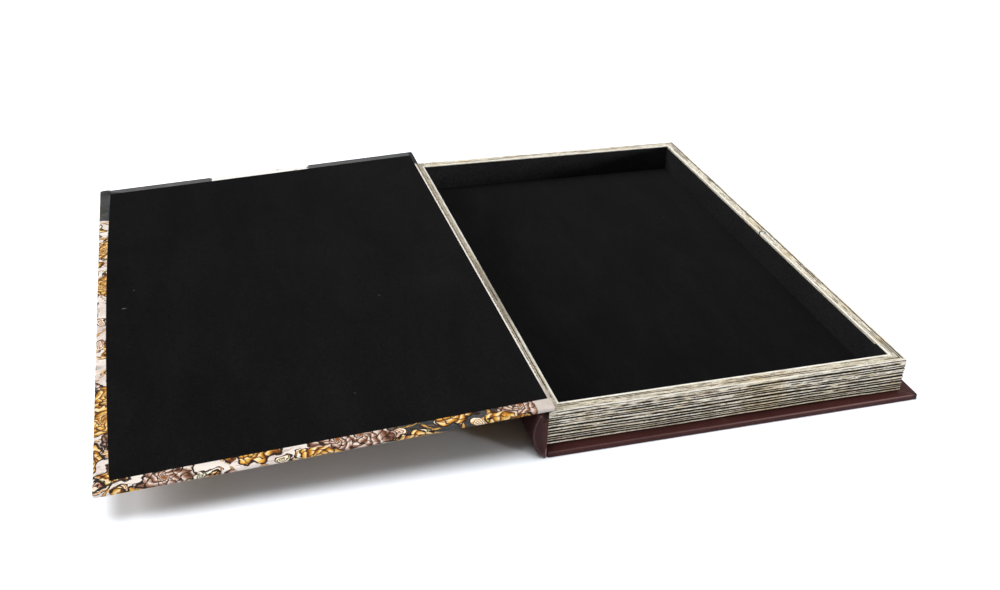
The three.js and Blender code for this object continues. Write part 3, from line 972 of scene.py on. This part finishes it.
def spine_cap(name, node, y):
    """Padded leather end of the spine: a D outline, raised a little in its middle."""
    centre, radius = arc_middle()
    side = -1 if y < 0 else 1
    clear_selection()
    bpy.ops.mesh.primitive_circle_add(vertices=3, radius=1 * MM)
    cap = newest(name)
    choose(cap, "VERT")
    bpy.ops.mesh.delete(type="EDGE_FACE")
    to_object_mode()
    first = Vector((SPINE_TOE.x, y, SPINE_TOE.z))
    last = Vector((SPINE_SHOULDER.x, y, SPINE_SHOULDER.z))
    cap.data.vertices[0].co = first * MM
    discard(cap, lambda co: abs(co.x - first.x) > 0.01)
    choose(cap, "VERT")
    swept_arc(Vector((centre.x, y, centre.z)), first, last, 20)
    for target in ((SPINE_STEP, SPINE_SHOULDER.z), (SPINE_STEP, STEP_BASE),
                   (GUTTER_SIDE, STEP_BASE), (GUTTER_SIDE, 1.0)):
        to_object_mode()
        here = [v.co.copy() for v in cap.data.vertices if v.select][-1] / MM
        bpy.ops.object.mode_set(mode="EDIT")
        draw_out(Vector((target[0] - here.x, 0, target[1] - here.z)))
    bpy.ops.mesh.select_all(action="SELECT")
    bpy.ops.mesh.edge_face_add()
    draw_out(Vector((0, -side * CAP_THICKNESS, 0)))
    to_object_mode()
    face_outwards(cap)
    round_edges(cap, lambda a, b: abs(a.y - y) < 0.01 and abs(b.y - y) < 0.01, 0.35, 3)
    choose(cap, "FACE", lambda centre, normal: normal.y * side > 0.99)
    bpy.ops.mesh.poke(offset=0.3 * MM)
    to_object_mode()
    smooth(cap, 60)
    return hand_over(cap, "base", LEATHER, [node])


def hinge_cloth():
    """Cloth from the gutter over the spine's step to the lid's hinge line, and on under the lid."""
    # Places of its folds, x and z.
    path = [(-126.2, 27.36), (-128.95, 27.36), (-131.4, 27.36), (-132.0, 27.9), (-132.02, 31.6),
            (-131.85, 32.3), (-131.0, 32.42), (-129.6, 32.45), (-128.4, 32.62), (-127.9, 32.75),
            (-128.4, 32.84), (-131.0, 32.70), (-136.0, 32.45)]
    half, half_at_step = 190.5, 195.7
    cloth = long_edge("hinge_cloth_sheet", *path[0], half)
    for (x, z), (next_x, next_z) in zip(path, path[1:]):
        draw_out(Vector((next_x, 0, next_z)) - Vector((x, 0, z)))
    to_object_mode()
    # Its ends are cut wider over the spine's step.
    for v in cloth.data.vertices:
        if v.co.x < -128.9 * MM and v.co.z < 31.9 * MM:
            v.co.y = math.copysign(half_at_step * MM, v.co.y)
    finish_modifier(cloth, "SOLIDIFY", thickness=0.12 * MM, offset=0)
    smooth(cloth, 60)
    hand_over(cloth, None, CLOTH)
    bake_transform(cloth)
    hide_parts("hinge_cloth")


# Lid.


def cross_cuts(obj, length, count):
    """Divides a piece across its length, so that its long sides can bow."""
    for i in range(1, count):
        choose(obj, "FACE")
        bpy.ops.mesh.bisect(plane_co=(0, length * i / count * MM, 0), plane_no=(0, 1, 0))
    to_object_mode()


def fit_long_sides(obj, free, hinge, above, gap):
    """Moves a piece's long sides to the edges of the turned-in canvas."""
    for v in obj.data.vertices:
        x, y, z = v.co / MM
        if abs(x - free) < 0.02 and z > above:
            v.co.x = (free_margin(y) + gap) * MM
        elif abs(x - hinge) < 0.02 and z > above:
            v.co.x = (LID_SIZE.x - hinge_margin(y) - gap) * MM


def lid_canvas():
    """Printed canvas drawn round the board, its turn-ins leaving a window for the lining."""
    size = LID_SIZE
    wrap = slab("lid_canvas_wrap", (0, 0, 0), size)
    round_edges(wrap, upright, 1.6, 4)
    round_edges(wrap, level, 1.2, 5)
    hinge = size.x - hinge_margin(size.y / 2)
    cut_window(wrap, (TURN_IN, TURN_IN), (hinge, size.y - HEAD_TURN_IN), size.z)
    cross_cuts(wrap, size.y, CROSS_CUTS)
    fit_long_sides(wrap, TURN_IN, hinge, size.z - 0.01, 0.0)
    mitre_cuts(wrap)
    finish_modifier(wrap, "SOLIDIFY", thickness=0.45 * MM, offset=-1)
    print_sheet(wrap)
    smooth(wrap, 40)
    lay_open(wrap)
    hand_over(wrap, "lid", CANVAS, ["lid_canvas"])
    corner_fold("tail_corner_fold", False)
    corner_fold("head_corner_fold", True)


def mitre_cuts(wrap):
    """Divides the turned-in canvas along the fold lines of its free corners."""
    for end, side in ((0.0, 1.0), (LID_SIZE.y, -1.0)):
        for knee, slope in ((0.0, MITRE_STEEP), (MITRE_KNEE, MITRE_SHALLOW)):
            choose(wrap, "FACE", lambda centre, normal: normal.z > 0.3 and abs(centre.y - end) < 12)
            bpy.ops.mesh.bisect(plane_co=Vector((0, end + side * knee, 0)) * MM,
                                plane_no=(slope, -side, 0))
    to_object_mode()


def corner_fold(name, at_head):
    """Gathered canvas at a free corner: a raised flap at the tail, a rounded lump at the head."""
    clear_selection()
    bpy.ops.mesh.primitive_grid_add(x_subdivisions=18, y_subdivisions=10, size=2)
    fold = newest(name)
    for v in fold.data.vertices:
        s, t = (v.co.x + 1) / 2, (v.co.y + 1) / 2
        if at_head:
            x, y = 0.5 + 8.0 * s, LID_SIZE.y - 0.6 - 7.2 * t
            rise = 1.1 * (1 - (2 * s - 1) ** 4) * (1 - (2 * t - 1) ** 4)
            rise *= 0.8 + 0.35 * wobble(x / 2.2, y / 2.2, 3.0)
            edge = min(s, 1 - s, t, 1 - t) * 8
        else:
            x = 0.7 + 18.0 * s
            y = 0.7 + (mitre_line(x) - 0.7) * t if mitre_line(x) > 0.7 else 0.7
            rise = 0.5 * t ** 1.4 * min(1.0, 6 * s) * min(1.0, 3.2 * (1 - s))
            rise += 0.12 * wobble(x / 3.0, y / 3.0, 7.0) * t
            # It lies flatter where the closed lid presses it on the rim.
            rise = min(rise, 0.24 + 0.4 * max(0.0, min(1.0, (9.0 - x) / 3)))
            edge = 1.0
        base = LID_SIZE.z - 0.04 - (0.25 if x < 1.0 or abs(y - LID_SIZE.y * at_head) < 1.0 else 0.0)
        v.co = Vector((x, y, base + rise * min(1.0, edge + 0.3))) * MM
    finish_modifier(fold, "SOLIDIFY", thickness=0.3 * MM, offset=-1)
    face_outwards(fold)
    print_sheet(fold)
    smooth(fold, 60)
    lay_open(fold)
    return hand_over(fold, "lid", CANVAS)


def from_sides(place):
    """Distance of a spot from each of the lid's four sides."""
    return {"free": place.x, "hinge": LID_SIZE.x - place.x,
            "tail": place.y, "head": LID_SIZE.y - place.y}


def turned_from(place):
    """The side of the lid that a spot on the turned-in canvas comes from."""
    gaps = from_sides(place)
    if gaps["hinge"] < min(4.0, gaps["tail"], gaps["head"]):
        return "hinge"
    for end in ("tail", "head"):
        if gaps[end] < min(40, mitre_line(place.x)):
            return end
    return "free"


def print_sheet(wrap):
    """Unfolds the wrap onto the flat sheet, so that the print runs on over the edges."""
    size, mesh = LID_SIZE, wrap.data
    (mesh.uv_layers.active or mesh.uv_layers.new()).name = "sheet"
    mesh.uv_layers.new(name="lid")
    flat, plain = mesh.uv_layers["sheet"], mesh.uv_layers["lid"]
    inner = mesh.attributes.new("inner_face", "FLOAT", "POINT")
    for v in mesh.vertices:
        inner.data[v.index].value = 1.0 if v.co.z / MM > size.z - 0.35 else 0.0
    for face in mesh.polygons:
        centre, up = face.center / MM, face.normal.z
        gaps = from_sides(centre)
        side = turned_from(centre) if up > 0.5 else min(gaps, key=gaps.get)
        for i in face.loop_indices:
            place = mesh.vertices[mesh.loops[i].vertex_index].co / MM
            x, y = place.x, place.y
            over = size.z + from_sides(place)[side] if up > 0.5 else place.z
            if up > -0.5:
                x = {"free": -over, "hinge": size.x + over}.get(side, x)
                y = {"tail": -over, "head": size.y + over}.get(side, y)
            flat.data[i].uv = (x / 100, y / 100)
            plain.data[i].uv = (place.x, place.y)


def lid_lining():
    gap, bottom, top = 0.1, 2.7, 3.62
    low = Vector((TURN_IN, TURN_IN + gap, bottom))
    high = Vector((LID_SIZE.x - hinge_margin(LID_SIZE.y / 2) - gap,
                   LID_SIZE.y - HEAD_TURN_IN - gap, top))
    panel = slab("lid_velvet_panel", low, high)
    cross_cuts(panel, LID_SIZE.y, CROSS_CUTS)
    fit_long_sides(panel, low.x, high.x, 0.0, gap)
    round_edges(panel, lambda a, b: min(a.z, b.z) > 3.6 and (
        max(a.x, b.x) < low.x + 1 or min(a.x, b.x) > high.x - 1
        or max(a.y, b.y) < low.y + 0.01 or min(a.y, b.y) > high.y - 0.01), 0.3, 3)
    smooth(panel, 50)
    lay_open(panel)
    hand_over(panel, "lid", VELVET, ["lid_lining"])


# Tray lining.


def tray_lining():
    left, right, end = -117.3, 115.8, 181.8
    foot, inner, thick = 6.8, end - 1.0, 0.8
    floor_low, floor_high = 5.9, 6.6
    floor = slab("tray_floor_velvet", (left, -end, floor_low), (right, end, floor_high))
    round_edges(floor, lambda a, b: min(a.z, b.z) > 6.5, 0.25, 2)
    smooth(floor, 50)
    hand_over(floor, "base", TRAY_VELVET, ["floor_lining"])
    # Height of the top edge, and the flat size in metres.
    ends, sides = (28.4, (0.2331, 0.0216)), (27.5, (0.3616, 0.0207))
    walls = [
        ("tail_wall_velvet", "front_lining", (left, -end), (right, thick - end), ends),
        ("head_wall_velvet", "rear_lining", (left, end - thick), (right, end), ends),
        ("spine_wall_velvet", "spine_lining", (left, -inner), (left + thick, inner), sides),
        ("fore_edge_wall_velvet", "fore_edge_lining",
         (right - thick, -inner), (right, inner), sides),
    ]
    for name, node, low, high, (top, flat) in walls:
        strip = slab(name, (*low, foot), (*high, top))
        if name == "fore_edge_wall_velvet":
            # Near the tail corner the lining runs up to the rim.
            raised, slope_foot, rise = -168.0, -166.8, 1.2
            choose(strip, "FACE")
            for y in (raised, slope_foot):
                bpy.ops.mesh.bisect(plane_co=Vector((0, y, 0)) * MM, plane_no=(0, 1, 0))
                bpy.ops.mesh.select_all(action="SELECT")
            choose(strip, "VERT", lambda co: co.y < raised + 0.1 and co.z > 27)
            bpy.ops.transform.translate(value=(0, 0, rise * MM))
            to_object_mode()
        round_edges(strip, lambda a, b: min(a.z, b.z) > 27, 0.3, 3)
        smooth(strip, 50)
        hand_over(strip, "base", WALL_VELVET_PAINTED_SHEEN, [node])


# Hidden parts.


def hidden_parts():
    finishes = {
        "back_board": GREYBOARD, "lid_board": GREYBOARD, "joint_strip": JOINT,
        "tray_floor": FIBREBOARD, "spine_core": MILLBOARD, "lid_plate": STEEL,
    }
    for name, finish in finishes.items():
        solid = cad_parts[name]
        solid.data.materials.clear()
        solid.data.materials.append(finish)


# Studio.


def studio():
    clear_selection()
    bpy.ops.mesh.primitive_plane_add(size=8)
    floor = newest("studio_floor")
    f = Finish("white floor", specular_ior_level=0.0)
    grain = f.noise(f.coordinates, 3, 2)
    pale = f.ramp(grain, (0.3, (0.54, 0.58, 0.66)), (0.7, (0.56, 0.60, 0.68)))
    f.wear(f.mix(f.seen_directly(), pale, (1.2, 1.25, 1.32)), 1.0)
    floor.data.materials.append(f.material)

    # The sky is white to the eye, and lights the box softly from above.
    world = bpy.data.worlds.new("studio white")
    bpy.context.scene.world = world
    world.use_nodes = True
    g = Graph(world.node_tree)
    _, _, height = g.parts(g.node("ShaderNodeTexCoord").outputs["Generated"])
    sky = world.node_tree.nodes["Background"]
    sky.inputs["Color"].default_value = (1, 1, 1, 1)
    strength = g.larger(g.seen_directly(), g.step(height, 0.55, 1.0, 0.01, 0.6))
    g.feed(sky.inputs["Strength"], strength)

    softbox("overhead softbox", 2.1, 40, (2, -12, 0))
    softbox("left softbox", 1.6, 28, (-10, -60, 0))
    softbox("right softbox", 2.35, 8, (85, 0, 45))


def softbox(name, strength, width, turn):
    """A broad soft lamp, given the width it shows in degrees."""
    lamp = bpy.data.lights.new(name, "SUN")
    lamp.energy = strength
    lamp.angle = math.radians(width)
    stand = bpy.data.objects.new(name, lamp)
    bpy.context.scene.collection.objects.link(stand)
    stand.rotation_euler = tuple(math.radians(v) for v in turn)


def camera():
    """Stands where the photograph was taken from, places in millimetres."""
    eye = Vector((-324.32, -705.32, 430.86))
    aim = Vector((-100.53, -0.99, 0.0))
    roll = math.radians(2.365)
    forward = (aim - eye).normalized()
    right = forward.cross(Vector((0, 0, 1))).normalized()
    up = right.cross(forward)
    across = right * math.cos(roll) + up * math.sin(roll)
    above = up * math.cos(roll) - right * math.sin(roll)
    data = bpy.data.cameras.new("camera")
    data.sensor_width = 36
    data.lens = 40.281
    data.clip_start, data.clip_end = 0.01, 50
    made = bpy.data.objects.new("camera", data)
    bpy.context.scene.collection.objects.link(made)
    turn = Matrix((across, above, -forward)).transposed().to_4x4()
    made.matrix_world = Matrix.Translation(eye * MM) @ turn
    bpy.context.scene.camera = made


camera()
studio()
fore_wall = page_block()
rim_magnet(fore_wall)
back_cover()
spine_leather()
spine_cap("tail_spine_cap", "tail_cap", -197.6)
spine_cap("head_spine_cap", "head_cap", 197.6)
hinge_cloth()
lid_canvas()
lid_lining()
tray_lining()
hidden_parts()

bpy.context.scene.view_settings.view_transform = "Standard"
